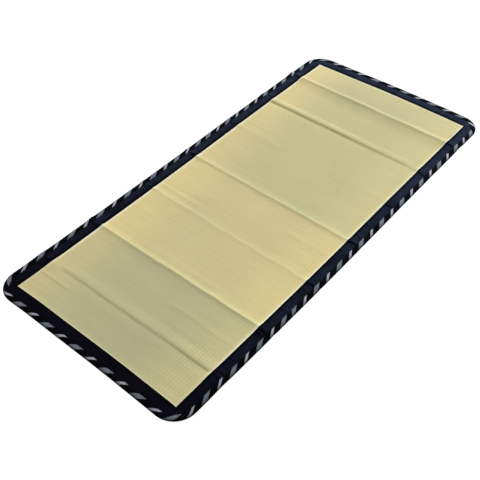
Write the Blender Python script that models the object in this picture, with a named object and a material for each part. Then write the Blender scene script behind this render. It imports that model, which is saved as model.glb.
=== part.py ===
"""A single rush sleeping mat, opened out on the floor.

A sheet of woven rush is bound on all four sides by strips of navy cloth. Each strip is folded
over the edge of the rush and mitred at its two ends. A striped tape, cut on the bias, is folded
over the outer rim in two lengths, which meet on the long sides. The mat is kept folded in eight,
so seven fold lines cross it and stand up as low ridges.

X runs across the mat, Y along it and Z up. The origin is on the floor, under the middle.
"""

import math

import bmesh
import bpy
from mathutils import Vector

MM = 0.001

# Driving sizes, in millimetres.
MAT_WIDTH = 900.0
MAT_LENGTH = 1950.0
CORNER_RADIUS = 90.0
BORDER_WIDTH = 60.5  # from the rim to the line where the rush comes out of the cloth
TAPE_WIDTH = 21.0  # how far the tape reaches in from the rim, above and below
RUSH_THICKNESS = 3.6
RUSH_IN_BORDER = 3.0  # pressed between the two layers of the border
RUSH_IN_TAPE = 2.0  # pressed harder where the tape is sewn on too
CLOTH = 1.0  # the border cloth and the tape, each
GAP = 0.3  # between neighbouring pieces
TAPE_CROWN = 0.4  # how far the tape swells above its rim
TAPE_DIP = 0.2  # how far its sewn edge is pulled down

# Where things happen, in millimetres in from the rim.
RUSH_END = 4.5
TIP_DEPTH = 1.7  # the folded edge of the border is eased off over this depth
TIP_DROP = 1.0
STEP_START = TAPE_WIDTH + 0.5  # clear of the tape, the border sinks to the floor
STEP_END = 31.0
FLAT_FROM = 72.0  # from here in, the rush lies at its full thickness on the floor
TAPE_TOP = 11.0  # the highest line of the tape

# Heights of the middle of the layers above the floor, and half thicknesses there.
TAPE_MIDDLE = RUSH_IN_TAPE / 2 + 2 * (GAP + CLOTH)
BORDER_MIDDLE = RUSH_IN_BORDER / 2 + GAP + CLOTH
BORDER_HALF_IN_TAPE = TAPE_MIDDLE - CLOTH - GAP

# The seven folds, from the near end to the far one, in millimetres.
# left_y and right_y place the ridge where it meets each long border. left, middle and right are
# its height there. near and far are the widths of its two slopes. sway is how far the mat's
# middle line has moved sideways at that fold.
FOLDS = (
    # left_y, right_y, left, middle, right, near, far, sway
    (-768.0, -762.0, 3.0, 3.0, 3.2, 72.0, 62.0, -1.5),
    (-516.0, -511.0, 3.6, 3.8, 3.6, 50.0, 36.0, 0.8),
    (-240.0, -247.0, 2.4, 2.0, 2.4, 32.0, 28.0, 2.6),
    (21.0, 16.0, 3.0, 3.0, 2.8, 32.0, 30.0, 2.2),
    (291.0, 288.0, 1.6, 0.6, 1.0, 26.0, 44.0, 0.2),
    (537.0, 531.0, 2.6, 3.6, 2.0, 28.0, 54.0, -0.4),
    (765.0, 760.0, 5.0, 5.6, 4.6, 68.0, 50.0, 0.4),
)
END_SWAY = (-2.6, 0.8)  # at the near end and at the far end

# The form of every ridge: share of the slope's width, share of the ridge's height.
RIDGE_FORM = ((-1.0, 0.0), (-0.42, 0.24), (0.0, 1.0), (0.42, 0.24), (1.0, 0.0))

# Where the two lengths of tape meet: the side, and the place along that side.
RIGHT_JOIN_Y = -411.0
LEFT_JOIN_Y = 122.0
BIAS_SLOPE = 1.2  # millimetres along the tape for each millimetre across it

CORNER_STEPS = 3  # facets in each half of a rounded corner
COLUMN_STEP = 180.0  # spacing of the sections across the mat

HALF_WIDTH = MAT_WIDTH / 2
HALF_LENGTH = MAT_LENGTH / 2

# Each side: its outward direction, the direction along it, its distance out and its half length.
# They follow each other anticlockwise, seen from above.
SIDES = {
    "right": ((1, 0), (0, 1), HALF_WIDTH, HALF_LENGTH),
    "far": ((0, 1), (-1, 0), HALF_LENGTH, HALF_WIDTH),
    "left": ((-1, 0), (0, -1), HALF_WIDTH, HALF_LENGTH),
    "near": ((0, -1), (1, 0), HALF_LENGTH, HALF_WIDTH),
}

# Each finish: its colour, as red, green and blue shares of light, and its roughness.
FINISHES = {
    "rush": ((0.56, 0.51, 0.27), 0.75),
    "border_cloth": ((0.008, 0.007, 0.018), 0.85),
    "striped_tape": ((0.035, 0.036, 0.045), 0.8),
}


def blend(a, b, share):
    return a + (b - a) * share


def sway(y):
    """How far the mat has moved sideways at y: straight between one fold and the next."""
    straight_end = HALF_LENGTH - CORNER_RADIUS
    knots = [(-straight_end, END_SWAY[0])]
    knots += [((f[0] + f[1]) / 2, f[7]) for f in FOLDS]
    knots += [(straight_end, END_SWAY[1])]
    shifts = [shift for _, shift in knots]
    centre = (max(shifts) + min(shifts)) / 2
    y = min(max(y, -straight_end), straight_end)
    for (y0, s0), (y1, s1) in zip(knots, knots[1:]):
        if y <= y1:
            return blend(s0, s1, (y - y0) / (y1 - y0)) - centre
    return shifts[-1] - centre


def settled(x, y, z):
    """A point of the straight, flat mat moved to where it lies, in metres."""
    return Vector(((x + sway(y)) * MM, y * MM, z * MM))


def corner_places(half_length):
    """Places along a side from the start of its rounded corner to the mitre."""
    start, end = half_length - CORNER_RADIUS, half_length - BORDER_WIDTH
    return [blend(start, end, k / CORNER_STEPS) for k in range(CORNER_STEPS + 1)]


def length_rows():
    """The sections along the mat: y at the left, y at the right, and the ridge's heights."""
    corner = corner_places(HALF_LENGTH)
    rows = [(-y, -y, (0, 0, 0)) for y in reversed(corner)]
    for left_y, right_y, left, middle, right, near, far, _ in FOLDS:
        for place, height in RIDGE_FORM:
            reach = near if place < 0 else far
            heights = (left * height, middle * height, right * height)
            rows.append((left_y + place * reach, right_y + place * reach, heights))
    return rows + [(y, y, (0, 0, 0)) for y in corner]


def width_columns():
    """The sections across the mat, as places from left to right."""
    corner = corner_places(HALF_WIDTH)
    count = round((HALF_WIDTH - CORNER_RADIUS) / COLUMN_STEP)
    between = [k * COLUMN_STEP for k in range(-count + 1, count)]
    return [-x for x in reversed(corner)] + between + corner


ROWS = length_rows()
COLUMNS = width_columns()

# The sections along each side, anticlockwise: the place along the side, and the lift there.
STATIONS = {
    "right": [(right_y, lift[2]) for _, right_y, lift in ROWS],
    "far": [(-x, 0) for x in reversed(COLUMNS)],
    "left": [(-left_y, lift[0]) for left_y, _, lift in reversed(ROWS)],
    "near": [(x, 0) for x in COLUMNS],
}


def plan_point(side, along, depth):
    """The plan point at a depth in from the rim, for a place along the border's inner line.

    The last part of each side turns through half a rounded corner, and its lines fan out from
    the square corner of the rush to the rounded rim.
    """
    outward, forward, distance, half_length = SIDES[side]
    straight, end = half_length - CORNER_RADIUS, half_length - BORDER_WIDTH
    past = max(0.0, abs(along) - straight)
    turn = math.radians(45) * past / (end - straight)
    arc = CORNER_RADIUS - min(depth, STEP_END)
    out = distance - CORNER_RADIUS + arc * math.cos(turn)
    run = min(abs(along), straight) + arc * math.sin(turn)
    if depth > STEP_END:
        share = (min(depth, BORDER_WIDTH) - STEP_END) / (BORDER_WIDTH - STEP_END)
        out = blend(out, distance - BORDER_WIDTH, share)
        run = blend(run, abs(along), share)
    if depth > BORDER_WIDTH:
        inset = depth - BORDER_WIDTH
        out -= inset
        run -= inset * past / (end - straight)
    run = math.copysign(run, along)
    return (
        outward[0] * out + forward[0] * run,
        outward[1] * out + forward[1] * run,
    )


def folded_section(outside, inside):
    """The closed section of a strip folded over an edge, as (depth, height, above) points.

    outside runs from the strip's edge to the fold and inside runs back. Each row is a depth, the
    height of the layers' middle and the strip's distance from it. The second value returned is
    how many of the points lie on the outside.
    """
    points = [(d, middle + half, 1) for d, middle, half in outside if half > 0]
    points += [(d, middle, 0) for d, middle, half in outside if half == 0]
    points += [(d, middle - half, -1) for d, middle, half in reversed(outside) if half > 0]
    outside_count = len(points)
    points += [(d, middle - half, -1) for d, middle, half in reversed(inside)]
    points += [(d, middle + half, 1) for d, middle, half in inside]
    return points, outside_count


def border_section():
    outer = BORDER_HALF_IN_TAPE
    fold = CLOTH + GAP
    tip = outer - TIP_DROP
    outside = [
        (BORDER_WIDTH, BORDER_MIDDLE, BORDER_MIDDLE),
        (STEP_END, BORDER_MIDDLE, BORDER_MIDDLE),
        (STEP_START, TAPE_MIDDLE, outer),
        (fold + TIP_DEPTH, TAPE_MIDDLE, outer),
        (fold, TAPE_MIDDLE, tip),
    ]
    inside = [
        (fold + CLOTH + GAP, TAPE_MIDDLE, outer - CLOTH),
        (STEP_START, TAPE_MIDDLE, outer - CLOTH),
        (STEP_END, BORDER_MIDDLE, BORDER_MIDDLE - CLOTH),
        (BORDER_WIDTH, BORDER_MIDDLE, BORDER_MIDDLE - CLOTH),
    ]
    return folded_section(outside, inside)


def tape_section():
    """The tape keeps its gap all round the border's eased tip."""
    half = BORDER_HALF_IN_TAPE + GAP
    slope = TIP_DROP / TIP_DEPTH
    rise = GAP * math.hypot(1, slope)
    tip = BORDER_HALF_IN_TAPE - TIP_DROP + rise - GAP * slope
    eased = CLOTH + (half - tip) / slope
    radius = TAPE_MIDDLE
    bend = radius * math.sqrt(0.5)
    edge = TAPE_MIDDLE - TAPE_DIP / 2
    crown = TAPE_MIDDLE + TAPE_CROWN / 2
    outside = [
        (TAPE_WIDTH, edge, edge),
        (TAPE_TOP, crown, crown),
        (radius, TAPE_MIDDLE, radius),
        (radius - bend, TAPE_MIDDLE, bend),
        (0.0, TAPE_MIDDLE, 0),
    ]
    inside = [
        (CLOTH, TAPE_MIDDLE, tip),
        (eased, TAPE_MIDDLE, half),
        (TAPE_WIDTH, TAPE_MIDDLE, half),
    ]
    return folded_section(outside, inside)


def material(name):
    colour, roughness = FINISHES[name]
    made = bpy.data.materials.new(name)
    made.use_nodes = True
    shader = made.node_tree.nodes["Principled BSDF"]
    shader.inputs["Base Color"].default_value = (*colour, 1)
    shader.inputs["Roughness"].default_value = roughness
    shader.inputs["Metallic"].default_value = 0
    made.diffuse_color = (*colour, 1)
    return made


def piece(name, mesh_maker, finish, parent):
    """An object with its origin on the floor under its own middle, tied to the mat."""
    bm = bmesh.new()
    mesh_maker(bm)
    xs = [v.co.x for v in bm.verts]
    ys = [v.co.y for v in bm.verts]
    middle = Vector(((min(xs) + max(xs)) / 2, (min(ys) + max(ys)) / 2, 0))
    bmesh.ops.translate(bm, verts=bm.verts, vec=-middle)
    bmesh.ops.recalc_face_normals(bm, faces=bm.faces)
    mesh = bpy.data.meshes.new(name)
    bm.to_mesh(mesh)
    bm.free()
    mesh.shade_smooth()
    mesh.set_sharp_from_angle(angle=math.radians(40))
    mesh.materials.append(finish)
    made = bpy.data.objects.new(name, mesh)
    made.location = middle
    made.parent = parent
    bpy.context.scene.collection.objects.link(made)
    return made


def skin(bm, loops):
    """Joins each closed loop of vertices to the next one."""
    for here, there in zip(loops, loops[1:]):
        for k in range(len(here)):
            after = (k + 1) % len(here)
            bm.faces.new((here[k], there[k], there[after], here[after]))


def chain(bm, verts):
    """The edges that join each vertex to the next one."""
    return [bm.edges.get(pair) or bm.edges.new(pair) for pair in zip(verts, verts[1:])]


def folded_strip(bm, sections, outside_count):
    """A strip through its sections, each end closed between its outside and its inside."""
    loops = [[bm.verts.new(point) for point in section] for section in sections]
    skin(bm, loops)
    for loop in (loops[0], loops[-1]):
        outer, inner = loop[:outside_count], loop[outside_count:]
        bmesh.ops.bridge_loops(bm, edges=chain(bm, outer) + chain(bm, inner))


def rush_panel(bm):
    """The woven sheet: a grid of flat facets, with four pressed rings hidden in its binding."""
    rings = (
        # depth, height of the middle, thickness
        (RUSH_END, TAPE_MIDDLE, RUSH_IN_TAPE),
        (STEP_START, TAPE_MIDDLE, RUSH_IN_TAPE),
        (STEP_END, BORDER_MIDDLE, RUSH_IN_BORDER),
        (BORDER_WIDTH, BORDER_MIDDLE, RUSH_IN_BORDER),
    )
    round_places = [
        (side, along, lift) for side in SIDES for along, lift in STATIONS[side][:-1]
    ]

    def ring(depth, height):
        made = []
        for side, along, lift in round_places:
            x, y = plan_point(side, along, depth)
            made.append(bm.verts.new(settled(x, y, height + lift)))
        return made

    def grid(height):
        made = []
        for left_y, right_y, lift in ROWS:
            line = []
            for column in COLUMNS:
                x = plan_point("near", column, FLAT_FROM)[0]
                share = min(max(x / (2 * (HALF_WIDTH - CORNER_RADIUS)) + 0.5, 0), 1)
                y = plan_point("right", blend(left_y, right_y, share), FLAT_FROM)[1]
                if share < 0.5:
                    raised = blend(lift[0], lift[1], 2 * share)
                else:
                    raised = blend(lift[1], lift[2], 2 * share - 1)
                line.append(bm.verts.new(settled(x, y, height + raised)))
            made.append(line)
        for low, high in zip(made, made[1:]):
            for k in range(len(low) - 1):
                bm.faces.new((low[k], low[k + 1], high[k + 1], high[k]))
        right = [line[-1] for line in made]
        left = [line[0] for line in made]
        return right[:-1] + made[-1][:0:-1] + left[:0:-1] + made[0][:-1]

    loops = [grid(RUSH_THICKNESS)]
    loops += [ring(d, middle + thick / 2) for d, middle, thick in reversed(rings)]
    loops += [ring(d, middle - thick / 2) for d, middle, thick in rings]
    loops.append(grid(0))
    skin(bm, loops)


def border_strip(side):
    """One strip of the border, from mitre to mitre."""
    section, outside_count = border_section()
    stations = STATIONS[side]
    forward = SIDES[side][1]
    clear = GAP / 2 * math.sqrt(2)
    end = stations[-1][0]

    def build(bm):
        sections = []
        for along, lift in stations:
            pull = math.copysign(clear, along) if abs(along) >= end else 0
            points = []
            for depth, height, _ in section:
                x, y = plan_point(side, along, depth)
                x -= forward[0] * pull
                y -= forward[1] * pull
                points.append(settled(x, y, height + lift))
            sections.append(points)
        folded_strip(bm, sections, outside_count)

    return build


def tape_length(start, middle_side, end):
    """One length of tape, from one bias-cut join to the other, over two rounded corners."""
    section, outside_count = tape_section()
    half_gap = GAP / 2 * math.hypot(1, BIAS_SLOPE)
    (first, start_at), (last, end_at) = start, end
    clear = BIAS_SLOPE * TAPE_WIDTH
    after = [s for s in STATIONS[first][:-1] if s[0] > start_at + clear]
    before = [s for s in STATIONS[last] if s[0] < end_at - clear]
    places = [(first, start_at + half_gap, 0, BIAS_SLOPE)]
    places += [(first, along, lift, 0) for along, lift in after]
    places += [(middle_side, along, lift, 0) for along, lift in STATIONS[middle_side][:-1]]
    places += [(last, along, lift, 0) for along, lift in before]
    places += [(last, end_at - half_gap, 0, BIAS_SLOPE)]

    def build(bm):
        sections = []
        for side, along, lift, slope in places:
            points = []
            for depth, height, above in section:
                x, y = plan_point(side, along + slope * above * depth, depth)
                points.append(settled(x, y, height + lift))
            sections.append(points)
        folded_strip(bm, sections, outside_count)

    return build


def clear_scene():
    for thing in list(bpy.data.objects):
        bpy.data.objects.remove(thing, do_unlink=True)


def build_mat():
    clear_scene()
    mat = bpy.data.objects.new("sleeping_mat", None)
    bpy.context.scene.collection.objects.link(mat)
    piece("rush_panel", rush_panel, material("rush"), mat)
    cloth = material("border_cloth")
    for side in SIDES:
        piece(f"border_{side}", border_strip(side), cloth, mat)
    tape = material("striped_tape")
    right, left = ("right", RIGHT_JOIN_Y), ("left", -LEFT_JOIN_Y)
    piece("tape_far_length", tape_length(right, "far", left), tape, mat)
    piece("tape_near_length", tape_length(left, "near", right), tape, mat)


build_mat()
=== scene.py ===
# %% [markdown]
# # A rush sleeping mat
#
# The real mat is a thin sheet of woven rush, opened out on the floor. Four strips of navy cotton
# bind it, each folded over the edge of the rush and mitred at the corners. A striped tape is folded
# over the outer rim. The mat is stored folded in eight, so seven fold lines stand up across it.
#
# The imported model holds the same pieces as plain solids, at their real size. This file dresses
# them: every piece here is a finer mesh in the place of one of those solids. It could also be done
# with image textures on the solids, but then the folds and stitches would vanish from the side.

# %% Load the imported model
import math

import bmesh
import bpy
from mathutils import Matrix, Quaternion, Vector, noise


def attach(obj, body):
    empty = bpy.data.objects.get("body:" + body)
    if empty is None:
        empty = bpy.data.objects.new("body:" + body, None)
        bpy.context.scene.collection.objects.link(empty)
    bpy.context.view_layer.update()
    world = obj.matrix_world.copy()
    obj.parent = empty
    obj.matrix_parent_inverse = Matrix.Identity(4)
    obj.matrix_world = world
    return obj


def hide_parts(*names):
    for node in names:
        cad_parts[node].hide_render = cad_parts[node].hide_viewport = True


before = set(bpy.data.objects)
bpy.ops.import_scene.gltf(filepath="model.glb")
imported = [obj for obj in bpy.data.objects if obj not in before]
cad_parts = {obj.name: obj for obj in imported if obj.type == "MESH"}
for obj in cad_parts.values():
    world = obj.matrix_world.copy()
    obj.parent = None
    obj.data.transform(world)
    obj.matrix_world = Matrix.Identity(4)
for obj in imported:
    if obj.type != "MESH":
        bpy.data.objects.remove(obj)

MM = 0.001
scene = bpy.context.scene
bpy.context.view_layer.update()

# %% [markdown]
# ## The camera
#
# The photograph shows the mat from its near right corner and from well above, so both the long and
# the short sides run away from the eye. The place of the camera was worked out from where the edges
# of the rush fall in the picture. A lens of about 55 mm gives the same narrowing towards the far
# end.

# %% Camera
CAMERA_PLACE = Vector((1.3475, -1.6869, 1.9951))
CAMERA_AIM = Vector((0.0741, -0.2382, 0.0))
CAMERA_ROLL = math.radians(-1.60)
LENS_MM = 55.27
SENSOR_MM = 36.0

camera_data = bpy.data.cameras.new("camera")
camera_data.lens = LENS_MM
camera_data.sensor_width = SENSOR_MM
camera = bpy.data.objects.new("camera", camera_data)
scene.collection.objects.link(camera)
camera.location = CAMERA_PLACE
camera.rotation_mode = "QUATERNION"
level_view = (CAMERA_AIM - CAMERA_PLACE).to_track_quat("-Z", "Y")
camera.rotation_quaternion = level_view @ Quaternion((0, 0, 1), CAMERA_ROLL)
scene.camera = camera
print("camera to the middle of the picture:", round((CAMERA_AIM - CAMERA_PLACE).length, 3), "m")

# %% [markdown]
# ## Sizes of the mat
#
# Every piece is worked out from the same few sizes, in millimetres, so that the rush, the border
# and the tape fit into each other as they do in the solids. Depth always means the distance in from
# the outer rim.

# %% Sizes
MAT_WIDTH = 900.0
MAT_LENGTH = 1950.0
CORNER_RADIUS = 90.0
BORDER_WIDTH = 60.5
TAPE_WIDTH = 21.0
CLOTH = 1.0
GAP = 0.3
RUSH_END = 4.5
STEP_START = 21.5
STEP_END = 31.0
FLAT_FROM = 72.0

HALF_WIDTH = MAT_WIDTH / 2
HALF_LENGTH = MAT_LENGTH / 2
INNER_X = HALF_WIDTH - BORDER_WIDTH
INNER_Y = HALF_LENGTH - BORDER_WIDTH

RUSH_TOP = 3.6  # in the open field
RUSH_TOP_AT_BORDER = 4.3
RUSH_UNDER_AT_BORDER = 1.3
BORDER_TOP = 5.6
BORDER_TOP_IN_TAPE = 5.9
LAYERS_MIDDLE_IN_TAPE = 3.6

SIDES = {
    # outward direction, direction along, distance out, half length
    "right": ((1, 0), (0, 1), HALF_WIDTH, HALF_LENGTH),
    "far": ((0, 1), (-1, 0), HALF_LENGTH, HALF_WIDTH),
    "left": ((-1, 0), (0, -1), HALF_WIDTH, HALF_LENGTH),
    "near": ((0, -1), (1, 0), HALF_LENGTH, HALF_WIDTH),
}
print("open rush field:", 2 * INNER_X, "by", 2 * INNER_Y, "mm")

# %% [markdown]
# ## Fold lines
#
# Rush keeps the memory of a fold. Opened out, each fold line stays up as a low ridge with a sharp
# crest and two slopes that flatten out. Seen against the light, the far slope is bright and the
# near one dark. No two are alike: one is nearly gone, two stand up clearly. A simulation would
# give seven alike ridges, so each is placed one by one, with its own height and widths.

# %% Fold lines
FOLDS = (
    # left_y, right_y, left, middle, right, near, far, sway
    (-768.0, -762.0, 3.0, 3.0, 3.2, 72.0, 62.0, -1.5),
    (-516.0, -511.0, 3.6, 3.8, 3.6, 50.0, 36.0, 0.8),
    (-240.0, -247.0, 2.4, 2.0, 2.4, 32.0, 28.0, 2.6),
    (20.5, 12.0, 3.0, 3.0, 2.8, 32.0, 30.0, 2.2),
    (291.0, 288.0, 1.6, 0.6, 1.0, 26.0, 44.0, 0.2),
    (534.0, 525.0, 2.6, 3.6, 2.0, 28.0, 54.0, -0.4),
    (761.0, 752.0, 5.0, 5.6, 4.6, 68.0, 50.0, 0.4),
)
CREST_FORMS = (
    # for each fold, away from the border: share of its height, rounding, near and far reach
    (0.45, 0.30, 72.0, 62.0),
    (0.86, 0.04, 34.5, 32.0),
    (0.40, 0.05, 32.0, 28.0),
    (0.92, 0.05, 28.0, 38.0),
    (0.25, 0.10, 26.0, 44.0),
    (0.16, 0.15, 28.0, 40.0),
    (0.52, 0.12, 27.0, 24.0),
)
print(len(FOLDS), "fold lines")

# %% [markdown]
# A few lines of arithmetic come back all through the file, so they are written once here. The drift
# is noise that looks random but gives the same line every time, which keeps the model repeatable.

# %% Arithmetic


def blend(a, b, share):
    return a + (b - a) * share


def clamp(value, low=0.0, high=1.0):
    return min(max(value, low), high)


def smooth(value, start, end):
    """0 before start, 1 after end, and a soft S between them."""
    t = clamp((value - start) / (end - start))
    return t * t * (3 - 2 * t)


def between(knots, place):
    """The value at a place, straight between one knot and the next."""
    for (p0, v0), (p1, v1) in zip(knots, knots[1:]):
        if place <= p1:
            return blend(v0, v1, clamp((place - p0) / (p1 - p0)))
    return knots[-1][1]


def wander(seed, place, reach):
    """A slow random drift between -1 and 1 along a line, always the same for the same seed."""
    return clamp(1.8 * noise.noise(Vector((place / reach, seed * 7.31, 0.5))), -1, 1)


print("halfway up a soft S:", smooth(0.5, 0, 1))

# %% [markdown]
# ## How the mat lies
#
# The mat doesn't lie quite straight. Each panel has slipped a little sideways on the next one, the
# two ends bow out and in by a few millimetres, and one corner is drawn out. All pieces pass through
# the same function, so they stay sewn to each other.

# %% Where the mat lies
END_SWAY = (-2.6, 0.8)
STRAIGHT_END = HALF_LENGTH - CORNER_RADIUS
SWAY_KNOTS = (
    (-STRAIGHT_END, END_SWAY[0]),
    *(((fold[0] + fold[1]) / 2, fold[7]) for fold in FOLDS),
    (STRAIGHT_END, END_SWAY[1]),
)
SWAY_CENTRE = (max(s for _, s in SWAY_KNOTS) + min(s for _, s in SWAY_KNOTS)) / 2
# how far the two ends bow outward: place across the mat, distance
NEAR_BOW = (
    (-450, 5.0), (-360, 3.5), (-270, 0.8), (-140, 0.2), (60, -1.6), (150, -1.6), (290, 0.0), (450, 2.0)
)
FAR_BOW = (
    (-450, -4.5), (-360, -2.9), (-280, -1.3), (-150, -0.2), (-50, 1.9), (30, 1.3), (140, -0.6),
    (220, -3.2), (290, -4.9), (360, -8.0), (450, -10.0),
)
BOW_FROM = 790.0
CORNER_PULL = 2.5  # how far the near left corner is drawn out to the left


def settled(x, y, z):
    """A point of the straight mat moved to where it lies, in metres."""
    sway = between(SWAY_KNOTS, y) - SWAY_CENTRE
    bow = between(FAR_BOW if y > 0 else NEAR_BOW, x) * smooth(abs(y), BOW_FROM, INNER_Y - 10)
    pull = CORNER_PULL * smooth(-x, 250, 440) * smooth(-y, 760, 940)
    return ((x + sway - pull) * MM, (y + (bow if y > 0 else -bow)) * MM, z * MM)


print("the near left corner of the rush lies at", settled(-INNER_X, -INNER_Y, 0)[:2])

# %% [markdown]
# ## The ridges
#
# A ridge is highest at its crest and flattens out on both sides. Under the border it is broad and
# plain, as the folded cloth is. In the open field its crest can be sharper or nearly gone, strays a
# little from a straight line, and is a little higher here than there.

# %% Height of the ridges
RIDGE_POWER = 2.62  # how quickly a slope flattens out
CREST_WANDER = (1.6, 1.8, 4.0, 1.8, 2.2, 1.6, 1.6)  # how far each crest strays from a straight line
CREST_UNEVEN = 0.14  # share by which a crest's height comes and goes


def share_across(x):
    """0 at the left end of a fold line, 1 at its right end."""
    return clamp(x / (2 * (HALF_WIDTH - CORNER_RADIUS)) + 0.5)


def ridge_lift(x, y):
    """The height that the fold lines give at a point, in millimetres."""
    share = share_across(x)
    inside = 1 - smooth(abs(x), INNER_X - 30, INNER_X)
    lift = 0.0
    for number, (left_y, right_y, left, middle, right, near, far, _) in enumerate(FOLDS):
        kept, rounding, inner_near, inner_far = CREST_FORMS[number]
        away = y - blend(left_y, right_y, share) - CREST_WANDER[number] * inside * wander(number, x, 60)
        reach = blend(near, inner_near, inside) if away < 0 else blend(far, inner_far, inside)
        s = abs(away) / reach
        if s >= 1:
            continue
        arch = 4 * share * (1 - share)
        height = blend(left, right, share) + arch * (middle - (left + right) / 2)
        height *= blend(1, kept, inside) * (1 + CREST_UNEVEN * inside * wander(number + 20, x, 110))
        soft = math.hypot(s, rounding) - rounding
        lift += height * (1 - soft) ** RIDGE_POWER
    return lift


print("ridges at x = 0:", [round(ridge_lift(0, (f[0] + f[1]) / 2), 1) for f in FOLDS], "mm")

# %% [markdown]
# ## Rolls and wrinkles
#
# Along some of the fold lines the sheet has a second form: a soft roll with a steep near side and
# a long far one, and a trough at its foot. Between the folds lie short wrinkles. Each is a line
# from left to right with a height, or a depth where the number is negative, and it fades out where
# it ends in the open field.

# %% Rolls and wrinkles
ROLLS = (
    # x and y where it starts, x and y where it ends,
    # heights at its left end, middle and right end, then near side, flat top and far side
    (-352, -752, 384, -741, (1.0, 1.5, 2.3), 10.0, 4.0, 22.0),
    (-360, -765, 386, -756, (-1.1, -1.3, -1.5), 24.0, 0.0, 9.0),
    (-388, -509, 388, -507, (0.1, 0.25, 0.3), 22.0, 0.0, 13.0),
    (-388, -241, 388, -249, (1.5, 0.2, 0.8), 60.0, 0.0, 13.0),
    (-388, 25, 388, 15, (0.3, 0.3, 0.5), 45.0, 0.0, 15.0),
    (-388, 291, -40, 289, (0.5, 0.4, 0.1), 26.0, 0.0, 16.0),
    (-388, 538, 362, 529, (2.45, 2.6, 1.15), 9.5, 10.0, 12.0),
    (-388, 536, 388, 527, (0.6, 0.6, 0.3), 9.5, 10.0, 95.0),
    (-388, 521, 388, 513, (-1.0, -0.8, -0.4), 13.0, 0.0, 6.0),
    (-388, 562, 388, 552, (-0.2, -0.35, -0.1), 7.0, 0.0, 10.0),
    (-388, 764, 388, 755, (3.8, 4.2, 3.4), 44.0, 0.0, 110.0),
    (-388, 763, 388, 754, (0.8, 0.5, 1.9), 40.0, 3.0, 15.0),
)
WRINKLES = (
    # x and y where it starts, x and y where it ends, height, reach
    (-388, -541, 388, -541, 0.30, 12.0),
    (-386, 352, -230, 349, 0.50, 6.0),
    (-388, 375, -250, 372, 0.45, 6.0),
    (-388, -374, -240, -378, 0.55, 7.0),
    (-388, -352, -240, -350, 0.50, 7.0),
    (-388, -196, -130, -200, 0.70, 8.0),
    (-388, -180, -130, -182, -0.50, 7.0),
    (-230, -477, 200, -476, 0.55, 9.0),
    (150, -96, 388, -100, 0.45, 9.0),
    (210, -150, 388, -148, 0.45, 8.0),
    (180, -208, 388, -204, -0.45, 8.0),
    (60, -628, 386, -624, 0.80, 8.0),
    (120, -688, 300, -690, 0.40, 9.0),
    (-40, -626, 60, -624, 0.35, 7.0),
    (-388, -810, -200, -804, 1.10, 5.5),
    (170, -862, 386, -858, 0.40, 6.0),
    (220, -894, 388, -897, 0.40, 6.0),
    (-386, 160, -220, 166, 0.35, 9.0),
    (240, 420, 388, 428, 0.45, 9.0),
)
END_FADE = 55.0  # millimetres over which a crease fades at an end in the open field
BORDER_REACH = INNER_X - 8  # a crease that starts beyond this runs in under the border
ROLL_STRAY, WRINKLE_STRAY = 1.2, 1.5  # how far each strays from its straight line
ROLL_UNEVEN = 0.15


def along_and_away(x, y, x0, y0, x1, y1):
    """Where a point stands next to a crease: its share of the height, and its distance away."""
    share = (x - x0) / (x1 - x0)
    away = y - blend(y0, y1, share)
    fade = 1.0
    if x0 > -BORDER_REACH:
        fade *= smooth(x - x0, 0, END_FADE)
    if x1 < BORDER_REACH:
        fade *= smooth(x1 - x, 0, END_FADE)
    return fade, away


def crease_lift(x, y):
    """The height that rolls, troughs and wrinkles add, in millimetres."""
    lift = 0.0
    for number, (x0, y0, x1, y1, heights, near, top, far) in enumerate(ROLLS):
        if not x0 <= x <= x1 or not -3 * near - 16 < y - y0 < 3 * far + 16:
            continue
        fade, away = along_and_away(x, y, x0, y0, x1, y1)
        away -= ROLL_STRAY * wander(number + 60, x, 80)
        from_top = away / near if away < 0 else max(0.0, away - top) / far
        t = (x - x0) / (x1 - x0)
        left, middle, right = heights
        height = blend(left, middle, 2 * t) if t < 0.5 else blend(middle, right, 2 * t - 1)
        height *= 1 + ROLL_UNEVEN * wander(number + 70, x, 120)
        lift += height * fade * math.exp(-(from_top ** 2))
    for number, (x0, y0, x1, y1, height, reach) in enumerate(WRINKLES):
        if not x0 <= x <= x1 or abs(y - y0) > 3 * reach + 12:
            continue
        fade, away = along_and_away(x, y, x0, y0, x1, y1)
        away -= WRINKLE_STRAY * wander(number + 40, x, 60)
        lift += height * fade * math.exp(-((away / reach) ** 2))
    return lift


SLOW_RIPPLE, QUICK_RIPPLE = 0.45, 0.08


def ripple(x, y):
    """The slow unevenness of the sheet between its folds, in millimetres."""
    slow = noise.noise(Vector((x / 150, y / 90, 3.1)))
    quick = noise.noise(Vector((x / 60, y / 24, 8.7)))
    return SLOW_RIPPLE * slow + QUICK_RIPPLE * quick


print(len(ROLLS), "rolls and troughs,", len(WRINKLES), "wrinkles")

# %% [markdown]
# ## The rush sheet
#
# The real sheet is made on a loom: dried rush stalks lie across, and strong threads run along it.
# One mesh makes it. Its rows are close together near a crest, where the form changes quickly, and
# further apart in between. A grid that is fine everywhere would look the same and cost four times
# as many faces. The outer part, hidden between the layers of the border, needs only a few rings.

# %% Rows and columns of the rush
FINE_EDGE = 50.0  # the fine grid ends here, hidden under the border
COLUMN_STEP = 5.0
CREST_STEP = 1.6
STEP_GROWTH = 1.16  # each row is this much further from the last one, away from a crest
FLAT_STEP = 8.0
EDGE_LINES = (-1.0, 0.0, 1.2, 2.4, 3.6, 5.0, 7.0, 10.0)  # insets of the lines beside the border
HIDDEN_RINGS = (
    # depth, height of the middle, thickness
    (STEP_END, 2.8, 3.0),
    (STEP_START, LAYERS_MIDDLE_IN_TAPE, 2.0),
    (RUSH_END, LAYERS_MIDDLE_IN_TAPE, 2.0),
)


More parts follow.
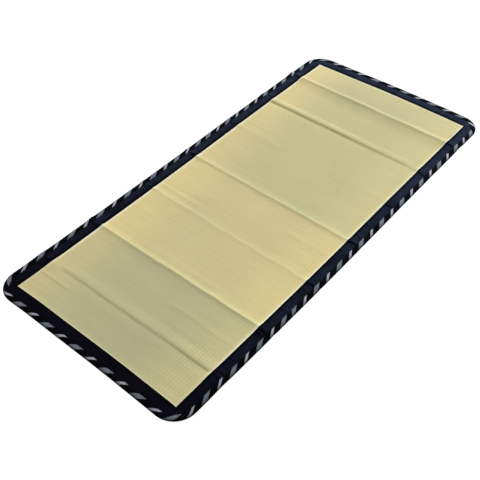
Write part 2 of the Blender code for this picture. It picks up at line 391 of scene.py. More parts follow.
def growing_steps(reach):
    """Distances from a crest up to reach, close together at first."""
    places = [0.0]
    step = CREST_STEP
    while places[-1] + 1.5 * step < reach:
        places.append(places[-1] + step)
        step = min(step * STEP_GROWTH, FLAT_STEP)
    return places + [reach]


def evenly(start, end, step):
    """Values from start to end, both included, about a step apart."""
    count = max(1, round(abs(end - start) / step))
    return [blend(start, end, k / count) for k in range(count + 1)]


def fine_rows():
    """The rows of the grid, as y at the left and y at the right."""
    edge = HALF_LENGTH - FINE_EDGE
    rows = [(-edge, -edge)]
    for left_y, right_y, _, _, _, near, far, _ in FOLDS:
        offsets = [-p for p in reversed(growing_steps(near))] + growing_steps(far)[1:]
        here = [(left_y + p, right_y + p) for p in offsets]
        last, first = rows[-1], here[0]
        shares = evenly(0, 1, FLAT_STEP / max(FLAT_STEP, first[0] - last[0]))
        rows += [(blend(last[0], first[0], t), blend(last[1], first[1], t)) for t in shares[1:-1]]
        rows += here
    last = rows[-1]
    shares = evenly(0, 1, FLAT_STEP / (edge - last[0]))
    return rows + [(blend(last[0], edge, t), blend(last[1], edge, t)) for t in shares[1:]]


def with_edge_lines(places, inner):
    """Adds lines close to the border, where the sheet swells up beside the cloth."""
    extra = [inner - inset for inset in EDGE_LINES]
    kept = [p for p in places if abs(p) < inner - EDGE_LINES[-1] - 1]
    ends = [-places[-1]] + [-p for p in extra] + kept
    return sorted(ends + extra + [places[-1]])


rows = fine_rows()
edge_rows = [row for row in rows if abs(row[0]) > HALF_LENGTH - CORNER_RADIUS]
rows = [row for row in rows if row not in edge_rows]
end_rows = with_edge_lines([row[0] for row in edge_rows], INNER_Y)
rows = [(y, y) for y in end_rows if y < 0] + rows + [(y, y) for y in end_rows if y > 0]
columns = evenly(-(HALF_WIDTH - FINE_EDGE), HALF_WIDTH - FINE_EDGE, COLUMN_STEP)
columns = with_edge_lines(columns, INNER_X)
print(len(rows), "rows and", len(columns), "columns")

# %% [markdown]
# The top of the rush starts from the flat sheet and adds the ridges, the creases and the ripples.
# Everything but the ridges fades out at the border, so that the rush always passes between the two
# layers of cloth. Right beside the cloth the pressed sheet swells up again in a narrow roll.

# %% Height of the rush
SWELL = 0.28  # how far the rush swells up beside the pressed edge
SWELL_WIDTH = 4.5
NEAR_END_STRENGTH = 0.25  # how much of the edge beside the border is left at the near end
RISE_END = FLAT_FROM + 6  # in from here the rush lies at its open height
CREASES_FROM = BORDER_WIDTH + 14  # in from here the creases have their full height


def edge_swell(depth):
    """1 in the narrow roll of rush right beside the border, 0 elsewhere."""
    inset = depth - BORDER_WIDTH
    return smooth(inset, 0, SWELL_WIDTH / 3) * (1 - smooth(inset, SWELL_WIDTH / 2, SWELL_WIDTH))


def edge_strength(y):
    """How much the edge beside the border shows: least at the near end, where it is trodden flat."""
    return blend(NEAR_END_STRENGTH, 1, smooth(y, 8 - INNER_Y, 340 - INNER_Y))


def rush_top(x, y):
    """The height of the rush's upper face above the floor, in millimetres."""
    depth = min(HALF_WIDTH - abs(x), HALF_LENGTH - abs(y))
    rise = 1 - smooth(depth, BORDER_WIDTH, RISE_END)
    free = smooth(depth, BORDER_WIDTH, CREASES_FROM)
    height = blend(RUSH_TOP, RUSH_TOP_AT_BORDER, rise) + ridge_lift(x, y)
    height += SWELL * edge_strength(y) * edge_swell(depth)
    return height + free * (crease_lift(x, y) + ripple(x, y))


print("rush at the middle of the far fold:", round(rush_top(0, 762), 1), "mm")

# %% [markdown]
# ## Marks of age and painted light on the rush
#
# The look of the sheet changes from place to place: how far light has faded and tanned it, how
# sharply it bends, where it is pale beside the border, and where its weave stands open. These are
# worked out here for every point and kept in the mesh, as one number each. The material reads them.
# Some carry painted light: the bend gives a painted highlight on crests and painted shade in
# hollows, and the fading and tan carry a painted highlight on the far slopes and at the far left.
# Painting them by hand would look as good, but could not follow the folds if one were moved.

# %% Marks on the rush
MARKS = ("bend", "fading_and_highlight", "tan_and_highlight", "selvedge", "loose")
# how faded and how tanned each of the eight panels is, from the near end
PANEL_FADING = (0.10, 0.15, 0.63, 0.63, 0.47, 0.52, 0.53, 0.47)
PANEL_TAN = (0.10, 0.14, 0.70, 0.74, 0.24, 0.26, 0.26, 0.28)
PANEL_EDGE = 12.0  # half the width of the soft step from one panel to the next
# The third of these is a painted highlight: the far left, where the light comes in, is drawn paler.
SIDE_FADING, FAR_FADING, FAR_LEFT_HIGHLIGHT, EDGE_FADING = 0.30, 0.12, 0.16, 0.30
LEFT_TAN = 0.55
# The far slope behind each crest faces the light, so less tan there is a painted highlight.
HIGHLIGHT_TAN_LOSS = 0.5
HIGHLIGHT_BEHIND_CREST, HIGHLIGHT_REACH = 9.0, 14.0  # how far behind a crest the painted highlight lies, and how widely
PALE_STRENGTH = 0.85
PALE_WIDTH, PALE_WIDTH_LEFT = 9.5, 13.5  # widths of the pale strip beside the border
BEND_SPAN = 3.0  # how far to either side the bend of the sheet is measured
LOOSE_PATCHES = (
    # x and y of the middle, reach across and along, how clearly the weave shows
    (310, -745, 90, 190, 1.0),
    (340, -140, 55, 140, 0.6),
    (-335, -356, 60, 45, 0.6),
    (-335, 80, 55, 55, 0.5),
    (-270, -790, 80, 50, 0.5),
)


def crest_y(fold, x):
    """Where the straight line of a fold crosses x."""
    return blend(fold[0], fold[1], clamp(x / (2 * INNER_X) + 0.5))


def panel_value(values, x, y):
    """The value of the panel at a point, with a soft step from one panel to the next."""
    value = values[0]
    for fold, after, before in zip(FOLDS, values[1:], values):
        value += (after - before) * smooth(y - crest_y(fold, x), -PANEL_EDGE, PANEL_EDGE)
    return value


def far_slope_highlight(x, y):
    """1 on the far slope behind a crest, which faces the light, 0 elsewhere: a painted highlight."""
    behind = [y - crest_y(fold, x) - HIGHLIGHT_BEHIND_CREST for fold in FOLDS]
    return max(math.exp(-((away / HIGHLIGHT_REACH) ** 2)) for away in behind)


def looseness(x, y):
    """1 where the sheet was pressed least and its weave stands open, 0 over most of it."""
    return max(
        strength * math.exp(-(((x - x0) / across) ** 2) - ((y - y0) / along) ** 2)
        for x0, y0, across, along, strength in LOOSE_PATCHES
    )


def rush_marks(x, y, height):
    """The values of MARKS at a point of the sheet."""
    bend = rush_top(x, y - BEND_SPAN) + rush_top(x, y + BEND_SPAN) - 2 * height
    inset = min(HALF_WIDTH - abs(x), HALF_LENGTH - abs(y)) - BORDER_WIDTH
    fading_and_highlight = panel_value(PANEL_FADING, x, y) + SIDE_FADING * smooth(abs(x), 120, 380)
    fading_and_highlight += FAR_FADING * smooth(y, 820, 905)
    # Painted highlight: paler towards the far left, where the light comes in.
    fading_and_highlight += FAR_LEFT_HIGHLIGHT * smooth(-x, 180, 370) * smooth(y, 300, 560)
    fading_and_highlight += EDGE_FADING * edge_strength(y) * (1 - smooth(inset, 4, 26))
    tan_and_highlight = panel_value(PANEL_TAN, x, y) + LEFT_TAN * smooth(-x, 130, 380)
    # Less tan on the lit far slope behind each crest: a painted highlight.
    tan_and_highlight *= 1 - HIGHLIGHT_TAN_LOSS * far_slope_highlight(x, y)
    pale_width = PALE_WIDTH_LEFT if x < 40 - INNER_X else PALE_WIDTH
    pale = 1 - smooth(inset, pale_width / 2, pale_width)
    return bend, fading_and_highlight, tan_and_highlight, PALE_STRENGTH * edge_strength(y) * pale, looseness(x, y)


middle_marks = rush_marks(0, 0, rush_top(0, 0))
print("marks in the middle:", {name: round(value, 2) for name, value in zip(MARKS, middle_marks)})

# %% [markdown]
# A few helpers come next. Every piece is made of loops of points, joined by faces. The outline of
# the rush is carried out to the rim, round the corners. Each finished piece rides on the mat and
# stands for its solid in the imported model.

# %% Helpers for pieces


def row_y(row, x):
    """Where a row of the grid crosses x."""
    return blend(row[0], row[1], share_across(x))


def to_rim(x, y, depth):
    """Moves a point on the grid's outer edge out to a smaller depth, round the corners."""
    past_x = abs(x) - (HALF_WIDTH - CORNER_RADIUS)
    past_y = abs(y) - (HALF_LENGTH - CORNER_RADIUS)
    if past_x > 0 and past_y > 0:
        scale = (CORNER_RADIUS - depth) / math.hypot(past_x, past_y)
        new_x = HALF_WIDTH - CORNER_RADIUS + past_x * scale
        new_y = HALF_LENGTH - CORNER_RADIUS + past_y * scale
        return math.copysign(new_x, x), math.copysign(new_y, y)
    if past_x > 0:
        return math.copysign(HALF_WIDTH - depth, x), y
    return x, math.copysign(HALF_LENGTH - depth, y)


def new_piece(name, bm, node_names=(), attributes=()):
    """Turns a bmesh into a piece that rides on the mat and stands for its solid."""
    bmesh.ops.recalc_face_normals(bm, faces=bm.faces)
    mesh = bpy.data.meshes.new(name)
    bm.to_mesh(mesh)
    bm.free()
    mesh.shade_smooth()
    for attribute_name, values in attributes:
        attribute = mesh.attributes.new(attribute_name, "FLOAT", "POINT")
        attribute.data.foreach_set("value", values)
    made = bpy.data.objects.new(name, mesh)
    scene.collection.objects.link(made)
    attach(made, "root")
    if node_names:
        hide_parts(*node_names)
    faces = sum(len(polygon.vertices) - 2 for polygon in mesh.polygons)
    print(name, "has", faces, "triangles")
    return made


def join_loops(bm, loops):
    """Joins each closed loop of vertices to the next one."""
    for here, there in zip(loops, loops[1:]):
        for k in range(len(here)):
            after = (k + 1) % len(here)
            bm.faces.new((here[k], there[k], there[after], here[after]))


def outline_of(grid):
    """The outer edge of a grid of vertices, anticlockwise from its near right corner."""
    right = [line[-1] for line in grid]
    left = [line[0] for line in grid]
    return right[:-1] + grid[-1][:0:-1] + left[:0:-1] + grid[0][:-1]


print("vertices in the outline of the rush:", 2 * (len(rows) + len(columns)) - 4)

# %% [markdown]
# Now the sheet itself. Its top is the grid, with its marks. Rings close it: they run out between
# the layers of the border, turn round the edge of the rush and come back underneath. The underside
# is made of strips from side to side, because it lies on the floor and nobody sees it.

# %% Build the rush sheet


def underside(bm, loop, steps, strips):
    """Closes the last loop of the sheet by strips from its left to its right side."""
    right_side = loop[:strips + 1]
    left_side = [loop[2 * strips + steps - k] for k in range(strips + 1)]
    for k in range(1, strips - 1):
        bm.faces.new((left_side[k], left_side[k + 1], right_side[k + 1], right_side[k]))
    bm.faces.new(loop[strips - 1:strips + steps + 2])
    bm.faces.new(loop[2 * strips + steps - 1:] + loop[:2])


def rush_sheet():
    """The whole sheet of rush as one closed mesh, with its marks."""
    bm = bmesh.new()
    grid = []
    marks = []
    for row in rows:
        line = []
        for x in columns:
            y = row_y(row, x)
            height = rush_top(x, y)
            line.append(bm.verts.new(settled(x, y, height)))
            marks.append(rush_marks(x, y, height))
        grid.append(line)
    for low, high in zip(grid, grid[1:]):
        for k in range(len(columns) - 1):
            bm.faces.new((low[k], low[k + 1], high[k + 1], high[k]))

    edge_places = outline_of([[(x, row_y(row, x)) for x in columns] for row in rows])
    loops = [outline_of(grid)]
    levels = [(d, middle + thick / 2) for d, middle, thick in HIDDEN_RINGS]
    levels += [(d, middle - thick / 2) for d, middle, thick in reversed(HIDDEN_RINGS)]
    for depth, height in levels:
        ring = []
        for x, y in edge_places:
            lift = ridge_lift(x, y)
            x, y = to_rim(x, y, depth)
            ring.append(bm.verts.new(settled(x, y, height + lift)))
        loops.append(ring)
    loops.append([
        bm.verts.new(settled(x, y, RUSH_UNDER_AT_BORDER + ridge_lift(x, y)))
        for x, y in edge_places
    ])
    shrink_x = (HALF_WIDTH - FLAT_FROM) / (HALF_WIDTH - FINE_EDGE)
    shrink_y = (HALF_LENGTH - FLAT_FROM) / (HALF_LENGTH - FINE_EDGE)
    floor_places = [(x * shrink_x, y * shrink_y) for x, y in edge_places]
    loops.append([bm.verts.new(settled(x, y, ridge_lift(x, y))) for x, y in floor_places])
    join_loops(bm, loops)
    underside(bm, loops[-1], len(columns) - 1, len(rows) - 1)
    marks += [(0.0,) * len(MARKS)] * (len(bm.verts) - len(marks))
    return new_piece("woven_rush_sheet", bm, ["rush_panel"], zip(MARKS, zip(*marks)))


rush_piece = rush_sheet()

# %% [markdown]
# ## The navy border
#
# Each strip of cotton is folded in half along the rim, with its two layers above and below the
# rush. Between the line of stitches at its inner edge and the tape at the rim the cloth is a little
# loose, so it swells, and where a fold of the mat crosses it, it puckers. The strip is made by
# drawing its section once and carrying it along the side. A cloth simulation would pucker too, but
# not in the places where the real one does.

# %% Plan of the border and the tape


def plan_point(side, along, depth):
    """The plan point at a depth in from the rim, for a place along the border's inner line."""
    outward, forward, distance, half_length = SIDES[side]
    straight, end = half_length - CORNER_RADIUS, half_length - BORDER_WIDTH
    past = max(0.0, abs(along) - straight)
    turn = math.radians(45) * past / (end - straight)
    arc = CORNER_RADIUS - min(depth, STEP_END)
    out = distance - CORNER_RADIUS + arc * math.cos(turn)
    run = min(abs(along), straight) + arc * math.sin(turn)
    if depth > STEP_END:
        share = (depth - STEP_END) / (BORDER_WIDTH - STEP_END)
        out = blend(out, distance - BORDER_WIDTH, share)
        run = blend(run, abs(along), share)
    run = math.copysign(run, along)
    return (
        outward[0] * out + forward[0] * run,
        outward[1] * out + forward[1] * run,
    )


def edge_lift(side, along):
    """The height that the fold lines give to the binding on a side, in millimetres."""
    if side == "right":
        return ridge_lift(INNER_X, along)
    if side == "left":
        return ridge_lift(-INNER_X, -along)
    return 0.0


def stations(side, step):
    """Places along a side, from mitre to mitre, no more than a step apart."""
    half_length = SIDES[side][3]
    straight, end = half_length - CORNER_RADIUS, half_length - BORDER_WIDTH
    corner = evenly(straight, end, step * 0.4)
    knots = [-straight, straight]
    if side == "right":
        knots = [-straight] + [row[1] for row in rows if abs(row[1]) < straight - 1] + [straight]
    if side == "left":
        knots = [-straight] + [-row[0] for row in rows if abs(row[0]) < straight - 1] + [straight]
    knots.sort()
    places = [-p for p in reversed(corner)]
    for start, stop in zip(knots, knots[1:]):
        pieces = math.ceil((stop - start) / step - 0.05)
        places += [blend(start, stop, k / pieces) for k in range(1, pieces + 1)]
    return places + corner[1:]


print("stations along the right side:", len(stations("right", 6)))

# %% [markdown]
# The puckers are short folds across the border. Most stand where a fold line of the mat meets it,
# a few in between, where the strip was fed unevenly under the needle. On the long sides each is
# steep on its near side and runs out softly on its far side.

# %% Puckers
PUCKERS = {
    # for each side: place along it, height, steep reach, soft reach, lean
    "right": (
        (-752, 1.8, 3.0, 9.0, 0.15),
        (-733, 1.2, 3.0, 8.0, -0.10),
        (-672, 0.6, 4.0, 12.0, 0.10),
        (-533, 1.5, 3.5, 7.0, 0.20),
        (-518, 2.3, 3.4, 13.0, 0.05),
        (-400, 0.8, 4.0, 12.0, 0.30),
        (-287, 0.9, 3.0, 8.0, 0.10),
        (-251, 2.0, 3.0, 9.0, 0.05),
        (-190, 0.7, 4.0, 12.0, 0.20),
        (11, 2.3, 3.6, 15.0, -0.05),
        (54, 0.8, 3.0, 9.0, 0.10),
        (124, 1.3, 3.0, 12.0, 0.25),
        (267, 1.9, 3.2, 12.0, -0.10),
        (400, 0.7, 4.0, 12.0, 0.10),
        (512, 2.1, 3.4, 13.0, 0.15),
        (640, 0.7, 4.0, 12.0, -0.30),
        (748, 2.2, 3.4, 13.0, 0.15),
    ),
    "left": (
        (-758, 2.0, 3.4, 12.0, 0.10),
        (-700, 0.7, 4.0, 12.0, -0.20),
        (-552, 1.8, 3.4, 12.0, 0.10),
        (-404, 0.8, 4.0, 12.0, 0.25),
        (-289, 1.1, 3.4, 12.0, -0.15),
        (-150, 0.7, 4.0, 12.0, 0.15),
        (-20, 2.0, 3.2, 12.0, 0.05),
        (204, 1.0, 3.0, 6.0, 0.20),
        (220, 1.3, 3.0, 6.0, 0.15),
        (236, 1.0, 3.0, 6.0, 0.10),
        (380, 0.7, 4.0, 12.0, -0.20),
        (530, 2.0, 3.4, 12.0, 0.10),
        (764, 2.0, 3.4, 12.0, 0.10),
    ),
    "near": (
        (-270, 0.7, 6.0, 9.0, 0.25),
        (-60, 0.6, 6.0, 9.0, -0.20),
        (150, 0.7, 6.0, 9.0, 0.20),
        (300, 0.6, 6.0, 9.0, -0.15),
    ),
    "far": (
        (-250, 0.6, 6.0, 9.0, 0.20),
        (-20, 0.7, 6.0, 9.0, -0.20),
        (210, 0.6, 6.0, 9.0, 0.15),
    ),
}
HEM_LINE = 57.5  # depth of the stitches at the border's inner edge
# how much further in each strip reaches on top
HEM_OVER = {"right": 0.6, "far": 1.3, "left": 2.0, "near": 2.0}
CLOTH_SWELL, CLOTH_CRUMPLE = 0.55, 0.22  # how high the loose cloth swells, and how unevenly
PLAY_PAST_HEM = 0.25  # how freely its last few millimetres move
PUCKER_SCALE, STEEP_SCALE = 1.15, 1.3  # make all heights, and all steep sides, larger at once
PUCKER_STRAY = 1.5  # how far a pucker strays from its straight line
# How much darker the inner seam is drawn, then the painted shade on the puckers' steep sides.
SEAM_DARKENING = 0.95
SLOPE_SHADE, SLOPE_CAP = 0.65, 1.6  # painted shade for each millimetre of slope, and the most that counts


def border_height(depth):
    """The border's upper face in the plain section, in millimetres above the floor."""
    return blend(BORDER_TOP_IN_TAPE, BORDER_TOP, smooth(depth, STEP_START, STEP_END))


def hem_depth(side, depth):
    """Where a point of the upper layer lies, with the strip's own extra width at its inner edge."""
    return depth + HEM_OVER[side] * smooth(depth, 47, 56)


def cloth_play(depth):
    """How freely the border's upper layer moves: not at its seams, fully between them."""
    t = clamp((depth - STEP_START) / (HEM_LINE - STEP_START))
    return math.sin(math.pi * t) ** 0.6 + (PLAY_PAST_HEM if depth > HEM_LINE else 0.0)


def pucker_lift(side, along, depth):
    """The height of the puckers at a place of the border, in millimetres."""
    lift = 0.0
    for place, height, steep, soft, lean in PUCKERS[side]:
        if abs(along - place) > 3 * soft + 10:
            continue
        away = along - place - lean * (depth - 40) - PUCKER_STRAY * wander(place, depth, 14)
        if side == "left":
            away = -away
        reach = STEEP_SCALE * steep if away < 0 else soft
        lift += PUCKER_SCALE * height * math.exp(-((away / reach) ** 2))
    return lift


def border_give(side, along, depth):
    """How far the border's upper layer stands off the plain section there."""
    seed = len(side)  # of its name: left and near share one, and lie too far apart to show it
    rise = CLOTH_SWELL * (1 + 0.5 * wander(seed, along, 45))
    rise += pucker_lift(side, along, depth)
    rise += CLOTH_CRUMPLE * noise.noise(Vector((along / 16, depth / 12, seed * 3.7)))
    return rise * cloth_play(depth)


def pucker_shade_and_dark_seam(side, along, depth):
    """1 on the steep side of a pucker, turned from the light, as painted shade, and at the inner seam,
    drawn darker.
    """
    shade = SEAM_DARKENING * (1 - smooth(BORDER_WIDTH - depth, 4, 15))
    slope = pucker_lift(side, along + 1.5, depth) - pucker_lift(side, along - 1.5, depth)
    shade += SLOPE_SHADE * clamp(-slope if side == "left" else slope, 0, SLOPE_CAP)
    return clamp(shade)


print({side: len(puckers) for side, puckers in PUCKERS.items()}, "puckers")

# %% [markdown]
# The section goes round the outside of the strip and back along its inside. Its points lie close
# together at the hem, where the stitches draw the cloth down into a narrow dip. Its two inner
# layers keep clear of the rush by a gap, as in the solids.

# %% The border's section
HEM_DIP = 0.4
HEM_DIP_WIDTH = 0.9
TOP_DEPTHS = (58.9, 58.1, 57.5, 56.9, 56.0, 54.0, 51.0, 47.5, 44.0, 40.0, 36.0, 32.0, 28.0, 24.5)
UNDER_DEPTHS = (28.0, 36.0, 44.0, 51.0, 56.0, BORDER_WIDTH)
# depth and height of the points at the inner edge, then round the rim to the floor, then inside
SECTION_LIP = ((BORDER_WIDTH, BORDER_TOP - 0.75), (60.4, BORDER_TOP - 0.25), (59.8, BORDER_TOP))
SECTION_OUTSIDE = (
    (STEP_START, 5.9), (12.0, 5.9), (3.0, 5.9), (1.3, 4.9), (1.3, 2.3), (3.0, 1.3),
    (STEP_START, 1.3), (STEP_END, 0.0), (BORDER_WIDTH, 0.0),
)
SECTION_INSIDE = (
    (BORDER_WIDTH, 1.0), (STEP_END, 1.0), (STEP_START, 2.3), (2.6, 2.3), (2.6, 4.9),
    (STEP_START, 4.9),
)


def border_section(side, along):
    """The closed section of a strip: round its outside, then back along its inside."""
    points = [(hem_depth(side, d), z + border_give(side, along, d)) for d, z in SECTION_LIP]
    for depth in TOP_DEPTHS:
        dip = HEM_DIP * math.exp(-(((depth - HEM_LINE) / HEM_DIP_WIDTH) ** 2))
        height = border_height(depth) - dip + border_give(side, along, depth)
        points.append((hem_depth(side, depth), height))
    points += SECTION_OUTSIDE + SECTION_INSIDE
    for depth in UNDER_DEPTHS:
        under = border_height(depth) - CLOTH + border_give(side, along, depth)
        points.append((hem_depth(side, depth), under))
    return points


print("points in the border's section:", len(border_section("near", 0)))

# %% [markdown]
# One call makes one strip. Its two ends are cut along the mitre, and each is closed by one face.

# %% Build the border
STATION_STEP = 2.6
MITRE_CLEARANCE = 0.08  # a wider slit would let the pale rush glint through


def loft(bm, sections):
    """A closed tube through its sections, with both ends closed."""
    loops = [[bm.verts.new(point) for point in section] for section in sections]
    join_loops(bm, loops)
    bm.faces.new(loops[0])
    bm.faces.new(reversed(loops[-1]))


def border_strip(side):
    """One strip of the border, from mitre to mitre."""
    bm = bmesh.new()
    forward = SIDES[side][1]
    places = stations(side, STATION_STEP)
    sections = []
    shades = []
    for along in places:
        pull = math.copysign(MITRE_CLEARANCE, along) if along in (places[0], places[-1]) else 0
        lift = edge_lift(side, along)
        section = []
        for depth, height in border_section(side, along):
            x, y = plan_point(side, along, depth)
            section.append(settled(x - forward[0] * pull, y - forward[1] * pull, height + lift))
            shades.append(pucker_shade_and_dark_seam(side, along, depth))
        sections.append(section)
    loft(bm, sections)
    attributes = [("shade", shades)]
    return new_piece(f"navy_border_{side}", bm, [f"border_{side}"], attributes)


border_pieces = {side: border_strip(side) for side in SIDES}

# %% [markdown]
# ## The striped tape
#
# The tape is cut on the bias, slanting across its cloth, so that it can turn the rounded corners
# without pleats. That is why its woven bands run slanted over the rim. Two lengths go round the mat
# and meet on its long sides. The tape is fuller than the cloth below it, so it stands up as a soft
# roll, pulled down a little at each stitch.

# %% Section of the tape
BIAS_SLOPE = 1.2  # millimetres along the tape for each millimetre across it
RIGHT_JOIN_Y = -411.0
LEFT_JOIN_Y = 122.0
RIM_RADIUS = 3.6
RIM_STEPS = 8
TAPE_STITCH_LINE = 19.0  # depth and height of the stitches, and how far apart they are
TAPE_STITCH_HEIGHT = 6.95
TAPE_STITCH_PITCH = 7.5
TAPE_ROLL = (
    # depth and height of the tape's upper face, and how far it can swell there
    (TAPE_WIDTH, 6.45, 0.0),
    (20.9, 6.85, 0.0),
    (20.3, 7.0, 0.1),
    (TAPE_STITCH_LINE, TAPE_STITCH_HEIGHT, 0.0),
    (17.5, 7.2, 0.4),
    (15.0, 7.6, 0.8),
    (12.0, 7.85, 1.0),
    (9.0, 7.85, 1.0),
    (6.0, 7.6, 0.7),
)
TAPE_INSIDE = ((21.0, 1.0), (2.92, 1.0), (1.0, 2.13), (1.0, 5.07), (2.92, 6.2), (21.0, 6.2))


def tape_section():
    """The tape's closed section, as rows of depth, height, side of the rim, swell and width."""
    outside = [(d, z, 1.0, swell) for d, z, swell in TAPE_ROLL]
    for k in range(RIM_STEPS + 1):
        angle = math.pi / 2 - math.pi * k / RIM_STEPS
        depth = RIM_RADIUS * (1 - math.cos(angle))
        outside.append((depth, RIM_RADIUS * (1 + math.sin(angle)), math.sin(angle), 0.0))
    outside += [(12.0, 0.0, -1.0, 0.0), (TAPE_WIDTH, 0.0, -1.0, 0.0)]
    run, runs = 0.0, [0.0]
    for (d0, z0, _, _), (d1, z1, _, _) in zip(outside, outside[1:]):
        run += math.hypot(d1 - d0, z1 - z0)
        runs.append(run)
    rim = runs[len(TAPE_ROLL) + RIM_STEPS // 2]
    section = [(*point, rim - here) for point, here in zip(outside, runs)]
    for depth, height in TAPE_INSIDE:
        above = 1.0 if height > RIM_RADIUS else -1.0
        section.append((depth, height, above, 0.0, above * depth))
    return section, runs[-1]


tape_profile, tape_width_open = tape_section()
tape_half_width = tape_width_open / 2
print("the tape laid flat is", round(tape_width_open, 1), "mm wide")

# %% [markdown]
# The bands are woven in, wide and narrow by turns, and lean a little more than the cut ends. Their
# spacing drifts along the mat, because bias cloth stretches as it is sewn. So a few places along the
# rim are tied to a band's number, and the numbers run evenly in between. Each point of the tape
# keeps its number, moved along by the slant. The material then draws a band round every whole
# number.

# %% Build the tape
TAPE_STEP = 3.0
LEAN_RUN = 34.0  # the slant of a cut end eases off over this length
BAND_SLOPE = 1.7  # millimetres along the tape for each millimetre across it
NEAR_SLOPE_LOSS = 0.4  # how much of it is missing along the near end
TAPE_PUFF, PUFF_UNEVEN, STITCH_PULL = 0.35, 0.25, 0.16  # how much of its swell a place gets
BAND_PLACES = {
    # the middle of a band: side, place along it, number. Odd numbers are wide bands.
    "tape_far_length": (
        ("right", -414, 1),
        ("right", -279, 3),
        ("right", 144, 9),
        ("right", 512, 14),
        ("right", 790, 18),
        ("far", -302, 22),
        ("far", -11, 26),
        ("far", 155, 28),
        ("far", 294, 30),
        ("left", -857, 33),
        ("left", -645, 36),
        ("left", -374, 40),
        ("left", -178, 43),
    ),
    "tape_near_length": (
        ("left", -111, 1),
        ("left", 88, 4),
        ("left", 379, 8),
        ("left", 600, 11),
        ("left", 819, 14),
        ("near", -332, 17),
        ("near", -43, 21),
        ("near", 326, 26),
        ("right", -852, 29),
        ("right", -658, 32),
        ("right", -525, 34),
        ("right", -465, 35),
    ),
}


def numbered(anchors, run):
    """The band number at a length along the rim, evenly between the anchors and beyond them."""
    for (run0, number0), (run1, number1) in zip(anchors, anchors[1:]):
        if run <= run1 or run1 == anchors[-1][0]:
            return blend(number0, number1, (run - run0) / (run1 - run0))


def band_slope(side, along):
    """The slant of the bands there: on the near side the tape was pulled less, so they stand up."""
    if side != "near":
        return BAND_SLOPE
    from_corner = SIDES[side][3] - abs(along)
    return BAND_SLOPE - NEAR_SLOPE_LOSS * smooth(from_corner, BORDER_WIDTH, 140)


def tape_places(start, middle_side, end):
    """The sections of one length: side, place along it and lean."""
    (first, start_at), (last, end_at) = start, end
    half_gap = GAP / 2 * math.hypot(1, BIAS_SLOPE)
    easing = evenly(0, 1, TAPE_STEP / LEAN_RUN)
    places = [(first, start_at + half_gap + t * LEAN_RUN, BIAS_SLOPE * (1 - t)) for t in easing]
    after = [p for p in stations(first, TAPE_STEP) if p > start_at + LEAN_RUN + 2]
    places += [(first, p, 0.0) for p in after[:-1]]
    places += [(middle_side, p, 0.0) for p in stations(middle_side, TAPE_STEP)[:-1]]
    before = [p for p in stations(last, TAPE_STEP) if p < end_at - LEAN_RUN - 2]
    places += [(last, p, 0.0) for p in before]
    places += [(last, end_at - half_gap - (1 - t) * LEAN_RUN, BIAS_SLOPE * t) for t in easing]
    return places


def tape_length(name, start, middle_side, end):
    """One length of the tape, and how far it runs along the rim."""
    bm = bmesh.new()
    places = tape_places(start, middle_side, end)
    runs = [0.0]
    middles = [plan_point(side, along, TAPE_WIDTH / 2) for side, along, _ in places]
    for (x0, y0), (x1, y1) in zip(middles, middles[1:]):
        runs.append(runs[-1] + math.hypot(x1 - x0, y1 - y0))
    anchors = []
    for side, place, number in BAND_PLACES[name]:
        on_side = [k for k in range(len(places)) if places[k][0] == side]
        nearest = min(on_side, key=lambda k: abs(places[k][1] - place))
        anchors.append((runs[nearest], number))
    sections = []
    bands = []
    acrosses = []
    for (side, along, lean), run in zip(places, runs):
        lift = edge_lift(side, along)
        puff = TAPE_PUFF + PUFF_UNEVEN * wander(len(name), run, 24)  # its seed is the name's length
        puff -= STITCH_PULL * math.cos(2 * math.pi * run / TAPE_STITCH_PITCH)
        section = []
        for depth, height, above, swell, across in tape_profile:
            x, y = plan_point(side, along + lean * above * depth, depth)
            section.append(settled(x, y, height + swell * puff + lift))
            slant = band_slope(side, along) * across
            bands.append(numbered(anchors, run + lean * above * depth - slant))
            acrosses.append(across / tape_half_width)
        sections.append(section)
    loft(bm, sections)
    attributes = [("band", bands), ("across", acrosses)]
    made = new_piece(f"striped_{name}", bm, [name], attributes)
    print(name, "is", round(runs[-1]), "mm long")
    return made, runs[-1]


far_tape, far_tape_run = tape_length(
    "tape_far_length", ("right", RIGHT_JOIN_Y), "far", ("left", -LEFT_JOIN_Y)
)
near_tape, near_tape_run = tape_length(
    "tape_near_length", ("left", -LEFT_JOIN_Y), "near", ("right", RIGHT_JOIN_Y)
)

# %% [markdown]
# ## Stitches
#
# Two lines of stitching hold the binding: one along the inner edge of the border, one along the lip
# of the tape. Each stitch is a short length of thread that dives into the cloth at both ends. All
# stitches of a line are one mesh, because a thousand objects would be slow to handle. A row of
# images on the cloth would be cheaper, but could not catch the light.

# %% Build the stitches
THREAD_SIDES = 5
BORDER_STITCH_PITCH = 4.2
STITCH_CLEARANCE = 3.0  # the first and last stitch keep this far from the mitres
STITCH_PARTS = (
    # place along the stitch as a share of its length, then thickness and height in radii
    (-0.5, 0.45, -0.4),
    (-0.3, 1.0, 0.4),
    (0.3, 1.0, 0.4),
    (0.5, 0.45, -0.4),
)


